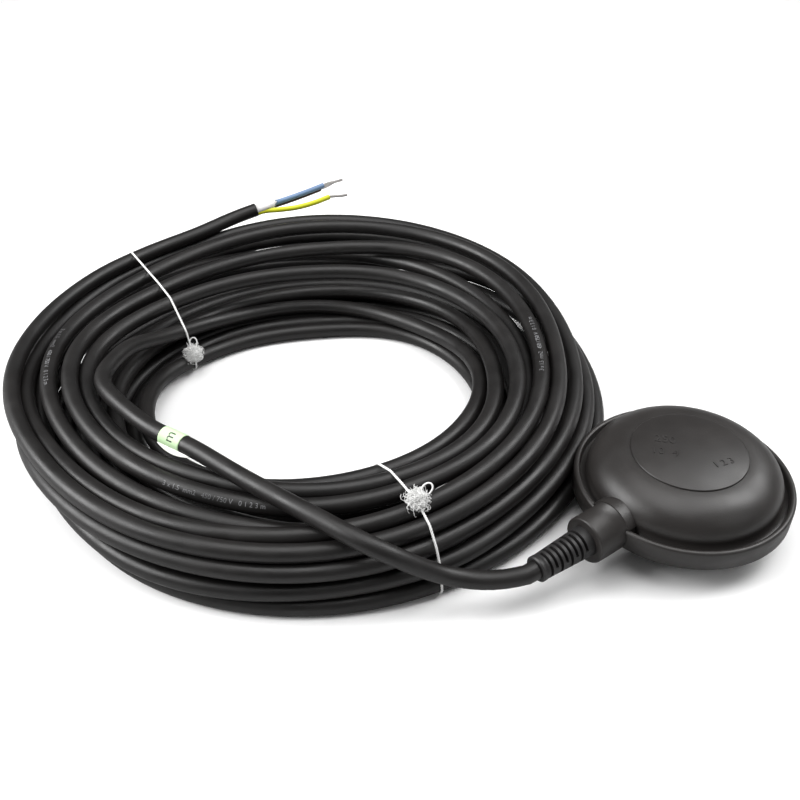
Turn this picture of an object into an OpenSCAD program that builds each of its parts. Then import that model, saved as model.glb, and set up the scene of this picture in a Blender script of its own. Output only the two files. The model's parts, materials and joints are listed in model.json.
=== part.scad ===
// Cable float switch: a flat round float that holds a ball-operated switch,
// with a ribbed strain relief and a long coiled three-core rubber cable.
// Origin: centre of the resting face under the float. +Z up, cable leaves along -X.

/* [Float] */
// Diameter over the rim bead
float_d = 106; // [102:1:112]
// Height from the lower pad to the upper pad
float_h = 42; // [40:1:48]
// Wall of the two moulded shells
wall = 2.5; // [2:0.25:3]
// Diameter of the raised round pad on each shell
pad_d = 56; // [44:1:60]
// Height of the raised pad over the dome
pad_step = 0.8; // [0.4:0.1:1.4]
// Width of the groove between the dome and the rim bead
groove_w = 3.2; // [2.6:0.1:3.6]
// Width of the rim bead
bead_w = 3; // [2.4:0.1:3.4]
// Height of the rim band with its bead
band_h = 11; // [10:0.5:13]

/* [Cable entry] */
// Diameter of the round socket for the cable
socket_d = 23; // [22:0.5:25]
// Distance that the socket stands out from the float's rim
socket_out = 14; // [9:1:18]
// Thickness of the socket's end wall
socket_face = 3; // [2:0.5:4]
// Bore of the socket behind its end wall
socket_bore_d = 18; // [17:0.25:18.5]
// Strain relief diameter at the socket
boot_base_d = 15; // [14:0.25:15.5]
// Strain relief diameter at its tip
boot_tip_d = 12.2; // [11.5:0.1:13]
// Length of strain relief outside the socket
boot_len = 30; // [26:1:34]
// Rows of slots round the strain relief
slot_rows = 8; // [4:1:9]
// Width of one slot
slot_w = 1.5; // [1:0.1:1.7]
// Angle that one slot covers
slot_angle = 140; // [100:2:150]

/* [Cable] */
// Cable diameter
cable_d = 9; // [8:0.25:9.5]
// Diameter of an insulated core
core_d = 3.2; // [2.8:0.1:3.4]
// Diameter of a bare stranded conductor
strand_d = 1.8; // [1.4:0.1:2]
// Length of bare conductor on each core
bare_len = 11; // [8:1:14]

/* [Coil] */
// Outer diameter of the wound coil
coil_d = 314; // [290:1:316]
// Inner diameter of the wound coil
coil_hole_d = 190; // [180:1:210]
// Height of the wound coil
coil_h = 38; // [34:1:39]
// Coil centre, along the cable entry
coil_x = -105; // [-108:1:-103]
// Coil centre, to the side
coil_y = 184; // [184:1:190]
// String thickness of the ties
string_d = 1.2; // [0.8:0.1:1.4]
// Length of the wrapped cable label
label_len = 14; // [8:1:16]

/* [Switch] */
// Steel ball diameter
ball_d = 12; // [10:0.5:12]
// Width of the microswitch case
switch_w = 6.4; // [5.4:0.2:6.6]
// Travel of the microswitch plunger
plunger_travel = 0.8; // [0.6:0.1:0.8]
// Wall of the switch chamber
chamber_wall = 2; // [1.4:0.2:2.4]

/* [Hidden] */
$fn = 96;

// Colours
plastic = "#3a3735";
rubber = "#2a2a2b";
cable_black = "#242426";
nylon = "#d8d4c8";
steel = "#b9bcc0";
brass = "#c9a957";
blue = "#5d7fa8";
brown = "#5a3a26";
yellow_green = "#c9cf3a";
copper = "#a89a8c";
label_green = "#d6eec4";
string_white = "#f0efea";
paper_white = "#e8e6e0";
case_black = "#1c1c1e";
lid_brown = "#5a2d28";
plunger_red = "#b03028";

// Clearances and fits
fit = 0.1;          // glued or pressed parts
slip = 0.05;        // parts that move on each other
eps = 0.01;
past = 8;           // how far a cut runs beyond the part that it cuts

// Float: heights and radii of the shells
mid_z = float_h / 2;
rim_r = float_d / 2;
band_top = mid_z + band_h / 2;
band_bot = mid_z - band_h / 2;
pad_r = pad_d / 2;
groove_r = rim_r - bead_w;
dome_r = groove_r - groove_w;
bead_r = bead_w / 2;
rim_bevel = 0.8;
ledge_z = mid_z - 2.2;
flange_h = 3.2;
flange_r = groove_r - fit;
spigot_wall = 2.2;
spigot_h = 3.6;
spigot_root = 3;
seal_r = (dome_r - wall + groove_r) / 2;
seal_w = 2.4;
seal_h = 1.7;
dome_steps = 14;

// Quarter-ellipse of a dome from its pad to its foot: radius and height
function dome_arc(inset, foot) = [
    for (i = [0:dome_steps])
        let (a = 90 * i / dome_steps)
        [pad_r + (dome_r - pad_r - inset) * sin(a),
         foot + (float_h - pad_step - inset - foot) * cos(a)]
];

// Raised pad with a rounded edge, seen in section
pad_round = 0.5;
pad_edge = [
    [0, float_h],
    [pad_r - pad_round, float_h],
    [pad_r - pad_round * 0.3, float_h - pad_round * 0.3],
    [pad_r, float_h - pad_round],
];

// Cable entry: stations along the axis, measured out from the float's centre
socket_r = socket_d / 2;
socket_reach = rim_r + socket_out;
socket_round = 1;
bore_r = socket_bore_d / 2;
face_in = socket_reach - socket_face;
boot_flange = 3;
boot_base_r = boot_base_d / 2;
boot_tip_r = boot_tip_d / 2;
boot_tip_ring = 2.4;
boot_tip_lip = 0.2;
boot_tip_bevel = 0.6;
slot_first = 4.2;
slot_turns = [105, 65];
cable_r = cable_d / 2;
boot_bore_r = cable_r + fit;
grommet_out = face_in - boot_flange - 2 * slip;
grommet_len = 8.8;
grommet_pitch = 2.2;
grommet_groove = 0.8;
grommet_depth = 1;
washer_out = grommet_out - grommet_len - slip;
washer_t = 1.5;
nut_inset = 2.5;
nut_out = washer_out - washer_t - slip;
nut_len = 8;
socket_back = nut_out - nut_len - nut_inset;
nut_hex_r = 6;
nut_collar = 2;
boot_tip_x = socket_reach + boot_len;
jacket_in = 7;
jacket_end = socket_back - jacket_in;
collar_r = socket_r + 1.1;
collar_inset = 2.5;
collar_out = rim_r - collar_inset;
collar_in = dome_r - 6;
collar_lift = 0.3;
slot_pitch = (boot_len - boot_tip_ring - slot_first) / slot_rows;

// Switch chamber inside the float
ball_r = ball_d / 2;
clamp_gap_x = 0.5;
clamp_x0 = clamp_gap_x - socket_back;
saddle_len = 9.5;
tray_x0 = clamp_x0 + saddle_len;
tray_end_gap = 14.3;
tray_x1 = dome_r - tray_end_gap;
tray_half = 14;
post_h = 3.3;
tray_floor_z = pad_step + wall + post_h;
tray_floor = 2.4;
floor_z = tray_floor_z + tray_floor;
tray_rise = 10;
tray_top = mid_z + tray_rise;
cover_t = 2;
cover_lip = 0.8;
ear_r = 3.4;
ear_y = tray_half + 3;
ear_back = tray_x0 + 8;
ear_front = tray_x1 - 8.5;
ear_places = [[ear_back, -ear_y], [ear_back, ear_y], [ear_front, -ear_y], [ear_front, ear_y]];
screw_r = 1.25;
screw_head_r = 2.4;
screw_spare = 0.5;
screw_head_h = 1.8;
cross_len = 2.6;
cross_w = 0.6;
cross_deep = 0.9;
screw_sides = 32;

// Microswitch
switch_x0 = tray_x0 + 16;
switch_x1 = switch_x0 + 10;
switch_z0 = floor_z + 1;
switch_z1 = tray_top - 1;
switch_half = switch_w / 2;
lid_t = 1;
case_wall = 1.4;
case_solid = 3.6;
case_ear_r = 1.2;
lid_inset = 0.6;
switch_mid_x = (switch_x0 + switch_x1) / 2;
switch_screw_z = [switch_z0 + 1.8, switch_z1 - 1.8];
switch_screw_r = 1;
switch_head_r = 1.7;
switch_head_h = 1.2;
plunger_in = 1.8;
blade_t = 0.3;
blade_w = 2;
blade_drop = 0.4;
blade_top = switch_z1 - case_solid - 1;
crimp_len = 4;
crimp_h = 3;
crimp_wall = 0.6;
hinge_x = switch_x1 + 0.5;
hinge_z = switch_z0 + 1.4;
pin_r = 0.5;
plunger_z = hinge_z + 5.6;
plunger_r = 1;
lever_t = 0.4;
lever_w = 4;
lever_gap = 3.2;
lever_len = tray_top - cover_lip - lever_gap - hinge_z;
hub_r = 1;
hub_gap = 0.4;
ear_gap = 0.15;
plunger_arm = plunger_z - hinge_z;
pressed_angle = 1.1;
// Lever angle at rest, from the plunger's travel over the lever's arm
rest_angle = atan(tan(pressed_angle) + plunger_travel / plunger_arm);
plunger_tip = hinge_x + (plunger_arm - plunger_r) * tan(rest_angle)
    - lever_t / 2 / cos(rest_angle) - slip;
plunger_back = switch_x1 - case_wall - plunger_in + plunger_travel + slip;
ball_lift = 3;
ball_z = floor_z + ball_lift + ball_r;
ball_clear = 0.1;
ball_play = 0.37;
ball_stop = hinge_x + (ball_z - hinge_z) * tan(pressed_angle) + lever_t + ball_clear;
// The ball at rest, far from the switch, and its travel up to the pressed lever
ball_x = tray_x1 - chamber_wall - ball_play - ball_r;
ball_travel = ball_x - ball_r - ball_stop;
rail_y = 4;
rail_w = 1.6;
rail_x0 = switch_x1 + 2.2;
bracket_t = 2.6;
bracket_inset = 0.5;
bracket_z = switch_z1 - 1;
rail_top = ball_z - sqrt(ball_r * ball_r - rail_y * rail_y) - slip;
tab_w = 2.8;
tab_t = 0.6;
tab_len = 4.5;
tab_in = 1.2;
tab_rise = 3;
tab_z = [switch_z0 + tab_rise, (switch_z0 + switch_z1) / 2, switch_z1 - tab_rise];

// Wires inside the float
wire_r = core_d / 2 - 0.2;
wire_lay = 2.15;
wire_leave = 4.6;
wire_arrive = 1.6;
wire_sides = 8;

// Cable clamp inside
clamp_bar_x = clamp_x0 + clamp_gap_x;
clamp_w = 5;
clamp_half = 9;
clamp_screw_y = 6.8;
clamp_gap = 0.8;
clamp_top = mid_z + cable_r + 2;
saddle_z = floor_z + 1;
saddle_hole_z = floor_z + 2.5;
clamp_screw_len = clamp_top - saddle_hole_z - 2;

// Coil
coil_r = coil_d / 2;
coil_hole_r = coil_hole_d / 2;
coil_round = 12;
tie_gap = 0.25;
tie_back_angle = 112;
tie_front_angle = -98;
knot_r = 2;
knot_stem = knot_r + 2 * tie_gap + string_d / 2;
lead_z = coil_h + cable_r + 0.7;

// Route of the lead: out of the strain relief, up over the coil and along its top
lead_path = [
    [-boot_tip_x - slip, 0, mid_z], [-boot_tip_x - 4, 0, mid_z], [-105, 1.2, 20],
    [-109, 3.8, 18.4], [-113.5, 8, 16.8], [-118.5, 13.5, 15.8], [-125, 18.6, 16.5],
    [-132.5, 23, 20], [-138, 25, 24.5], [-146, 28, 32], [-152, 31.2, 37.2],
    [-157.2, 35.2, 41.2], [-163, 45, lead_z], [-167, 59, lead_z], [-172, 73, lead_z],
    [-177, 88, lead_z], [-184, 109, lead_z], [-190, 131, lead_z],
    [-193.5, 144, lead_z], [-201, 159, lead_z], [-204, 170, lead_z],
    [-207, 190, lead_z], [-209, 207, lead_z], [-208, 221, lead_z]
];
label_at = 19;
label_skin = 0.35;
wrap_t = 0.3;
strand_sag = 0.6;

// Route of the free end: off the outside of the coil at the back
core_dir = unit([0.96, -0.2, 0.16]);
tail_end = [-40, 341, 44];
tail_path = [
    [-119, 340.4, 38], [-105, 341.3, 38], [-90, 341.6, 38.7], [-74, 343, 40],
    tail_end - 18 * core_dir, tail_end - 6 * core_dir, tail_end
];
wrap_len = 5;
wrap_in = 0.2;
// The three cores leave the jacket side by side and spread a little further out
core_steps = [0, 8, 17, 26, 35];
core_lay = 1.98;
core_straight = 8;
blue_path = core_path(80, 2.2);
brown_path = core_path(320, 3.2);
earth_path = core_path(200, 6.5);

// Route of one core round the cable's axis: straight at first, then spreading outward
function core_path(turn, spread) = [
    for (s = core_steps)
        let (out = max(0, s - core_straight))
        tail_end + (s + 2 * slip) * core_dir
            + (core_lay + spread * out * out / 1000)
            * (cos(turn) * side_dir(core_dir)
               + sin(turn) * cross(core_dir, side_dir(core_dir)))
];

// Helpers for swept tubes
function unit(v) = v / norm(v);
function path_dir(p, i) =
    i == 0 ? unit(p[1] - p[0])
    : i == len(p) - 1 ? unit(p[i] - p[i - 1])
    : unit(unit(p[i + 1] - p[i]) + unit(p[i] - p[i - 1]));
function side_dir(d) = unit(cross([0, 0, 1], d));
function ring_points(p, i, r, sides) =
    let (d = path_dir(p, i), s = side_dir(d), u = cross(d, s))
    [for (k = [0:sides - 1])
        p[i] + r * (cos(360 * k / sides) * s + sin(360 * k / sides) * u)];

function path_end(p) = p[len(p) - 1];
function end_dir(p) = unit(path_end(p) - p[len(p) - 2]);

// Solid tube of a given radius along a list of points
module tube(p, r, sides = 10) {
    n = len(p);
    pts = [for (i = [0:n - 1]) each ring_points(p, i, r, sides)];
    walls = [for (i = [0:n - 2], k = [0:sides - 1])
        let (a = i * sides + k, b = i * sides + (k + 1) % sides)
        [a, b, b + sides, a + sides]];
    start_cap = [for (k = [0:sides - 1]) k];
    end_cap = [for (k = [sides - 1:-1:0]) (n - 1) * sides + k];
    polyhedron(pts, concat([start_cap], [for (w = walls) [w[2], w[1], w[0]]],
        [for (w = walls) [w[3], w[2], w[0]]], [end_cap]), convexity = 6);
}

// Round bar along the cable entry, from one station to another
module along(from, to, r1, r2) {
    translate([-from, 0, mid_z])
        rotate([0, -90, 0])
            cylinder(h = to - from, r1 = r1, r2 = is_undef(r2) ? r1 : r2);
}

// Block between two corners
module block(a, b) {
    translate(a) cube(b - a);
}

// Section of the upper shell; the lower one shares the dome
module upper_section() {
    outer = dome_arc(0, band_top);
    inner = dome_arc(wall, band_top);
    polygon(concat(
        pad_edge, [[pad_r, float_h - pad_step]], outer,
        [[dome_r, ledge_z + flange_h], [flange_r, ledge_z + flange_h],
         [flange_r, ledge_z + slip], [dome_r - wall - fit, ledge_z + slip],
         [dome_r - wall - fit, ledge_z - spigot_h],
         [dome_r - wall - fit - spigot_wall, ledge_z - spigot_h],
         [dome_r - wall - fit - spigot_wall, band_top - spigot_root]],
        [for (i = [dome_steps:-1:0]) inner[i]],
        [[0, float_h - pad_step - wall]]
    ));
}

// Outline of the whole dome, used to trim what butts against it
module dome_solid(gap) {
    rotate_extrude()
        polygon(concat([[0, 0], [0, float_h]], [[pad_r + gap, float_h]],
            [for (p = dome_arc(0, band_top)) p + [gap, gap]], [[dome_r + gap, 0]]));
}

module lower_shell() {
    low = [for (p = dome_arc(0, band_top)) [p[0], float_h - p[1]]];
    low_in = [for (p = dome_arc(wall, band_top)) [p[0], float_h - p[1]]];
    color(plastic)
        difference() {
            union() {
                rotate_extrude()
                    polygon(concat(
                        [for (p = pad_edge) [p[0], float_h - p[1]]],
                        [[pad_r, pad_step]], low,
                        [[rim_r - rim_bevel, band_bot], [rim_r, band_bot + rim_bevel]],
                        [for (a = [0:15:180])
                            [rim_r - bead_r + bead_r * cos(a),
                             band_top - bead_r + bead_r * sin(a)]],
                        [[groove_r, ledge_z], [dome_r - wall, ledge_z]],
                        [for (i = [dome_steps:-1:0]) low_in[i]],
                        [[0, pad_step + wall]]));
                for (p = ear_places)
                    translate([p[0], p[1], pad_step + wall / 2])
                        cylinder(h = tray_floor_z - pad_step - wall / 2 - slip, r = ear_r);
            }
            seal_groove();
            along(socket_back - past, rim_r + past, socket_r + fit);
            for (p = ear_places)
                translate([p[0], p[1], pad_step + wall])
                    cylinder(h = tray_floor_z, r = screw_r + slip);
        }
}

// Groove for the ring seal in the lower shell's ledge
module seal_groove() {
    rotate_extrude()
        translate([seal_r - seal_w / 2 - slip, ledge_z - seal_h])
            square([seal_w + 2 * slip, seal_h + eps]);
}

module upper_shell() {
    color(plastic)
        difference() {
            rotate_extrude() upper_section();
            along(socket_back - past, rim_r + past, socket_r + fit);
        }
}

// Ring seal squeezed between the two shells, cut where the socket passes
module shell_seal() {
    color(rubber)
        difference() {
            rotate_extrude()
                translate([seal_r - seal_w / 2, ledge_z - seal_h + slip])
                    square([seal_w, seal_h - 2 * slip]);
            along(socket_back - past, rim_r + past, socket_r + fit);
        }
}

// Moulded round socket with a rounded end and a shoulder against the dome
module cable_socket() {
    color(plastic)
        difference() {
            union() {
                translate([-socket_reach, 0, mid_z])
                    rotate([0, 90, 0])
                        rotate_extrude()
                            polygon(concat([[0, 0]],
                                [for (a = [0:22.5:90])
                                    [socket_r - socket_round + socket_round * sin(a),
                                     socket_round - socket_round * cos(a)]],
                                [[socket_r, socket_reach - socket_back],
                                 [0, socket_reach - socket_back]]));
                intersection() {
                    along(collar_in, collar_out, collar_r);
                    difference() {
                        block([-rim_r, -socket_d, band_top + collar_lift], [0, socket_d, float_h]);
                        dome_solid(fit);
                    }
                }
            }
            along(face_in - eps, socket_reach + past, boot_base_r + fit);
            along(socket_back - past, face_in, bore_r);
        }
}

// One row of the strain relief: slots with bridges between them
module slot_row(station, turn) {
    translate([-station, 0, mid_z])
        rotate([0, -90, 0])
            for (side = [0, 180])
                rotate([0, 0, turn + side])
                    rotate_extrude(angle = slot_angle)
                        translate([cable_r - fit, 0])
                            square([boot_base_r, slot_w]);
}

// Tapered rubber strain relief with staggered slots and a flange behind the socket wall
module cable_boot() {
    color(rubber)
        difference() {
            union() {
                along(face_in - boot_flange - slip, face_in - slip, bore_r - fit);
                along(face_in - 2 * slip, socket_reach, boot_base_r);
                along(socket_reach, boot_tip_x - boot_tip_ring, boot_base_r, boot_tip_r);
                along(boot_tip_x - boot_tip_ring, boot_tip_x - boot_tip_bevel, boot_tip_r + boot_tip_lip);
                along(boot_tip_x - boot_tip_bevel, boot_tip_x,
                      boot_tip_r + boot_tip_lip, boot_tip_r + boot_tip_lip - boot_tip_bevel);
            }
            along(face_in - boot_flange - past, boot_tip_x + past, boot_bore_r);
            for (i = [0:slot_rows - 1])
                slot_row(socket_reach + slot_first + i * slot_pitch, slot_turns[i % 2]);
        }
}

// Rubber ring with three grooves that seals on the jacket
module cable_grommet() {
    color(rubber)
        difference() {
            along(grommet_out - grommet_len, grommet_out, bore_r - fit);
            along(grommet_out - grommet_len - past, grommet_out + past, cable_r + slip);
            for (i = [1:3])
                difference() {
                    along(grommet_out - i * grommet_pitch - grommet_groove / 2,
                          grommet_out - i * grommet_pitch + grommet_groove / 2, bore_r + past);
                    along(grommet_out - i * grommet_pitch - grommet_groove,
                          grommet_out - i * grommet_pitch + grommet_groove, bore_r - grommet_depth);
                }
        }
}

module thrust_washer() {
    color(steel)
        difference() {
            along(washer_out - washer_t, washer_out, bore_r - fit);
            along(washer_out - washer_t - past, washer_out + past, cable_r + 2 * fit);
        }
}

// Hollow nut that squeezes the grommet, with a hexagon for a key
module gland_nut() {
    color(brass)
        difference() {
            along(nut_out - nut_len, nut_out, bore_r - fit);
            along(nut_out - nut_len - past, nut_out + past, cable_r + 2 * fit);
            translate([-nut_out + nut_collar, 0, mid_z])
                rotate([0, 90, 0])
                    cylinder(h = nut_len, r = nut_hex_r, $fn = 6);
        }
}

// Cable jacket held in the socket, the strain relief and the clamp
module cable_end() {
    color(cable_black) along(jacket_end, boot_tip_x, cable_r);
}

// Bar that two screws pull down on the jacket
module cable_clamp() {
    color(nylon)
        difference() {
            block([clamp_bar_x, -clamp_half, mid_z + clamp_gap / 2],
                  [clamp_bar_x + clamp_w, clamp_half, clamp_top]);
            along(jacket_end - past, socket_back + past, cable_r + slip);
            for (y = [-clamp_screw_y, clamp_screw_y])
                translate([clamp_bar_x + clamp_w / 2, y, mid_z])
                    cylinder(h = cable_r + past, r = screw_r + slip);
        }
}

// Pan-head screw with its head's underside at the given height
module screw(place, head_z, length) {
    translate([place[0], place[1], head_z - length])
        cylinder(h = length + eps, r = screw_r, $fn = screw_sides);
    translate([place[0], place[1], head_z]) {
        difference() {
            cylinder(h = screw_head_h, r = screw_head_r, $fn = screw_sides);
            for (a = [0, 90])
                rotate([0, 0, a])
                    translate([-cross_len / 2, -cross_w / 2, screw_head_h - cross_deep])
                        cube([cross_len, cross_w, screw_head_h]);
        }
    }
}

module clamp_screws() {
    color(steel)
        for (y = [-clamp_screw_y, clamp_screw_y])
            screw([clamp_bar_x + clamp_w / 2, y], clamp_top + slip, clamp_screw_len);
}

// Moulded chamber: ball raceway, switch bracket, cable saddle and four ears
module switch_tray() {
    color(nylon)
        difference() {
            union() {
                difference() {
                    block([tray_x0, -tray_half, tray_floor_z], [tray_x1, tray_half, tray_top]);
                    block([tray_x0 + chamber_wall, -tray_half + chamber_wall, floor_z],
                          [tray_x1 - chamber_wall, tray_half - chamber_wall, tray_top + past]);
                }
                for (p = ear_places)
                    translate([p[0], p[1], tray_floor_z])
                        cylinder(h = tray_top - tray_floor_z, r = ear_r);
                for (s = [-1, 1])
                    block([rail_x0, s > 0 ? rail_y : -rail_y - rail_w, tray_floor_z + eps],
                          [tray_x1 - eps, s > 0 ? rail_y + rail_w : -rail_y, rail_top]);
                block([switch_x0 + bracket_inset, -switch_half - bracket_t, tray_floor_z + eps],
                      [switch_x1 - bracket_inset, -switch_half - fit, bracket_z]);
                block([switch_x0 + bracket_inset, -switch_half, tray_floor_z + eps],
                      [switch_x1 - bracket_inset, switch_half, switch_z0 - slip]);
                block([clamp_x0, -clamp_half, saddle_z],
                      [tray_x0 + eps, clamp_half, mid_z - clamp_gap / 2]);
            }
            along(-tray_x0 - past, socket_back + past, cable_r + slip);
            for (y = [-clamp_screw_y, clamp_screw_y])
                translate([clamp_bar_x + clamp_w / 2, y, saddle_hole_z])
                    cylinder(h = mid_z, r = screw_r + slip, $fn = screw_sides);
            for (p = ear_places)
                translate([p[0], p[1], tray_floor_z - past])
                    cylinder(h = tray_top + past, r = screw_r + slip, $fn = screw_sides);
            for (z = switch_screw_z)
                translate([switch_mid_x, -switch_half - past, z])
                    rotate([-90, 0, 0])
                        cylinder(h = past, r = switch_screw_r + slip, $fn = screw_sides);
        }
}

module switch_cover() {
    lip = chamber_wall + fit;
    color(nylon)
        difference() {
            union() {
                block([tray_x0, -tray_half, tray_top + slip],
                      [tray_x1, tray_half, tray_top + cover_t]);
                block([tray_x0 + lip, -tray_half + lip, tray_top - cover_lip],
                      [tray_x1 - lip, tray_half - lip, tray_top + cover_t / 2]);
                for (p = ear_places)
                    translate([p[0], p[1], tray_top + slip])
                        cylinder(h = cover_t - slip, r = ear_r);
            }
            for (p = ear_places)
                translate([p[0], p[1], tray_top - past])
                    cylinder(h = 2 * past, r = screw_r + slip, $fn = screw_sides);
        }
}

module chamber_screws() {
    color(steel)
        for (p = ear_places)
            screw(p, tray_top + cover_t + slip, tray_top + cover_t - pad_step - wall - screw_spare);
}

// Half case of the microswitch with the hinge ears and the hollow for the contacts
module microswitch_case() {
    color(case_black)
        difference() {
            union() {
                block([switch_x0, -switch_half, switch_z0], [switch_x1, switch_half - lid_t, switch_z1]);
                for (s = [-1, 1])
                    translate([hinge_x, s > 0 ? lever_w / 2 + ear_gap : -switch_half, hinge_z])
                        rotate([-90, 0, 0])
                            cylinder(h = switch_half - lever_w / 2 - ear_gap, r = case_ear_r, $fn = screw_sides);
            }
            block([switch_x0 + case_wall, -switch_half + case_wall, switch_z0 + case_solid],
                  [switch_x1 - case_wall, switch_half, switch_z1 - case_solid]);
            translate([hinge_x, -lever_w / 2 - ear_gap, hinge_z])
                rotate([-90, 0, 0])
                    cylinder(h = lever_w + 2 * ear_gap, r = hub_r + hub_gap, $fn = screw_sides);
            translate([hinge_x, -switch_w, hinge_z])
                rotate([-90, 0, 0])
                    cylinder(h = 2 * switch_w, r = pin_r + eps, $fn = screw_sides);
            translate([switch_x1 - case_wall - eps, 0, plunger_z])
                rotate([0, 90, 0])
                    cylinder(h = past, r = plunger_r + slip, $fn = screw_sides);
            switch_screw_holes();
            for (z = tab_z)
                block([switch_x0 - past, -tab_w / 2 - slip, z - tab_t / 2 - slip],
                      [switch_x0 + case_wall + tab_in, switch_half, z + tab_t / 2 + slip]);
        }
}

module switch_screw_holes() {
    for (z = switch_screw_z)
        translate([switch_mid_x, -switch_w, z])
            rotate([-90, 0, 0])
                cylinder(h = 2 * switch_w, r = switch_screw_r + slip, $fn = screw_sides);
}

module microswitch_lid() {
    color(lid_brown)
        difference() {
            block([switch_x0, switch_half - lid_t + slip, switch_z0],
                  [switch_x1 - lid_inset, switch_half, switch_z1]);
            translate([hinge_x, 0, hinge_z])
                rotate([-90, 0, 0])
                    cylinder(h = switch_w, r = case_ear_r + fit, $fn = screw_sides);
            switch_screw_holes();
        }
}

// Two long screws through the microswitch into its bracket
module switch_screws() {
    $fn = screw_sides;
    color(steel)
        for (z = switch_screw_z)
            translate([switch_mid_x, -switch_half - slip, z])
                rotate([90, 0, 0]) {
                    translate([0, 0, -switch_w - 2 * slip])
                        cylinder(h = switch_w + bracket_t - bracket_inset, r = switch_screw_r);
                    translate([0, 0, -switch_w - switch_head_h - 2 * slip])
                        cylinder(h = switch_head_h, r = switch_head_r);
                }
}

// Flat spade terminal through the back of the microswitch
module terminal(z, inner) {
    color(brass)
        block([switch_x0 - tab_len, -tab_w / 2, z - tab_t / 2],
              [switch_x0 + inner, tab_w / 2, z + tab_t / 2]);
}

module terminal_common() {
    terminal(tab_z[1], case_wall + tab_in);
}

module terminal_open() {
    terminal(tab_z[0], case_wall);
}

module terminal_closed() {
    terminal(tab_z[2], case_wall);
}

// Thin spring blade from the common terminal past the plunger
module contact_blade() {
    x = switch_x0 + case_wall + tab_in + slip;
    tip = switch_x1 - case_wall - plunger_in - slip;
    foot = tab_z[1] - blade_drop;
    w = blade_w / 2;
    color(brass)
        union() {
            block([x, -w, foot], [x + blade_t, w, blade_top]);
            block([x, -w, foot], [tip, w, foot + blade_t]);
            block([tip - blade_t, -w, plunger_z - plunger_r], [tip, w, foot + blade_t]);
        }
}

// Crimped sleeves on the three terminal tabs
module crimp_connectors() {
    color(brass)
        for (z = tab_z)
            difference() {
                block([switch_x0 - tab_len - crimp_len, -tab_w / 2 - crimp_wall, z - crimp_h / 2],
                      [switch_x0 - crimp_wall, tab_w / 2 + crimp_wall, z + crimp_h / 2]);
                block([switch_x0 - tab_len - slip, -tab_w / 2 - slip, z - tab_t / 2 - slip],
                      [switch_x0, tab_w / 2 + slip, z + tab_t / 2 + slip]);
            }
}

// Lever plate that the ball pushes, on a hub round the pin
module switch_lever() {
    color(steel)
        translate([hinge_x, 0, hinge_z])
            rotate([0, rest_angle, 0])
                difference() {
                    union() {
                        translate([0, lever_w / 2, 0])
                            rotate([90, 0, 0])
                                cylinder(h = lever_w, r = hub_r, $fn = screw_sides);
                        block([-lever_t / 2, -lever_w / 2, 0], [lever_t / 2, lever_w / 2, lever_len]);
                    }
                    translate([0, lever_w, 0])
                        rotate([90, 0, 0])
                            cylinder(h = 2 * lever_w, r = pin_r + slip, $fn = screw_sides);
                }
}

module lever_pin() {
    color(steel)
        translate([hinge_x, -switch_half, hinge_z])
            rotate([-90, 0, 0])
                cylinder(h = switch_w, r = pin_r, $fn = screw_sides);
}

module switch_plunger() {
    color(plunger_red)
        translate([plunger_back, 0, plunger_z])
            rotate([0, 90, 0])
                cylinder(h = plunger_tip - plunger_back, r = plunger_r, $fn = screw_sides);
}

module steel_ball() {
    color(steel)
        translate([ball_x, 0, ball_z]) sphere(r = ball_r);
}

// Core from the jacket's end to the connector on one terminal
module inside_wire(spread, z) {
    start = [-jacket_end + slip, spread[0], mid_z + spread[1]];
    finish = [switch_x0 - tab_len - crimp_len - slip, 0, z];
    leave = start + [wire_leave, 0, 0];
    arrive = finish - [wire_arrive, 0, 0];
    tube([start, leave, (leave + arrive) / 2, arrive, finish], wire_r, wire_sides);
}

module wire_blue_inside() {
    color(blue) inside_wire([0, wire_lay], tab_z[2]);
}

module wire_brown_inside() {
    color(brown) inside_wire([wire_lay * sin(60), -wire_lay / 2], tab_z[1]);
}

module wire_earth_inside() {
    color(yellow_green) inside_wire([-wire_lay * sin(60), -wire_lay / 2], tab_z[0]);
}

module cable_lead() {
    color(cable_black) tube(lead_path, cable_r, 10);
}

// Section of the wound coil: a rounded oblong
module coil_section(grow) {
    round_points = [
        for (c = [[coil_r - coil_round, coil_h - coil_round, 0],
                  [coil_hole_r + coil_round, coil_h - coil_round, 90],
                  [coil_hole_r + coil_round, coil_round, 180],
                  [coil_r - coil_round, coil_round, 270]],
             a = [0:15:90])
            [c[0] + (coil_round + grow) * cos(c[2] + a), c[1] + (coil_round + grow) * sin(c[2] + a)]
    ];
    polygon(round_points);
}

// Turns of the coil as one solid, with the two places where a string pulls them in
module cable_coil() {
    color(cable_black)
        difference() {
            translate([coil_x, coil_y, 0]) rotate_extrude($fn = 96) coil_section(0);
            for (angle = [tie_back_angle, tie_front_angle])
                tie_band(angle, string_d + 2 * tie_gap, -string_d - 2 * tie_gap, past);
        }
}

// Flat ring round the coil's section, across the turns at one angle
module tie_band(angle, width, inner, outer) {
    translate([coil_x, coil_y, 0])
        rotate([0, 0, angle])
            rotate([90, 0, 0])
                translate([0, 0, -width / 2])
                    linear_extrude(width)
                        difference() {
                            coil_section(outer);
                            coil_section(inner);
                        }
}

// String round the turns with its knot standing on top of them
module string_tie(angle, knot_at) {
    color(string_white)
        union() {
            tie_band(angle, string_d, -string_d - tie_gap, -tie_gap);
            translate([coil_x, coil_y, 0])
                rotate([0, 0, angle])
                    translate([knot_at, 0, coil_h + tie_gap + knot_r]) {
                        sphere(r = knot_r, $fn = 24);
                        translate([0, 0, -knot_stem])
                            cylinder(d = string_d, h = knot_stem, $fn = 24);
                    }
        }
}

module tie_back() {
    string_tie(tie_back_angle, coil_hole_r + coil_round + knot_r);
}

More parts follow.
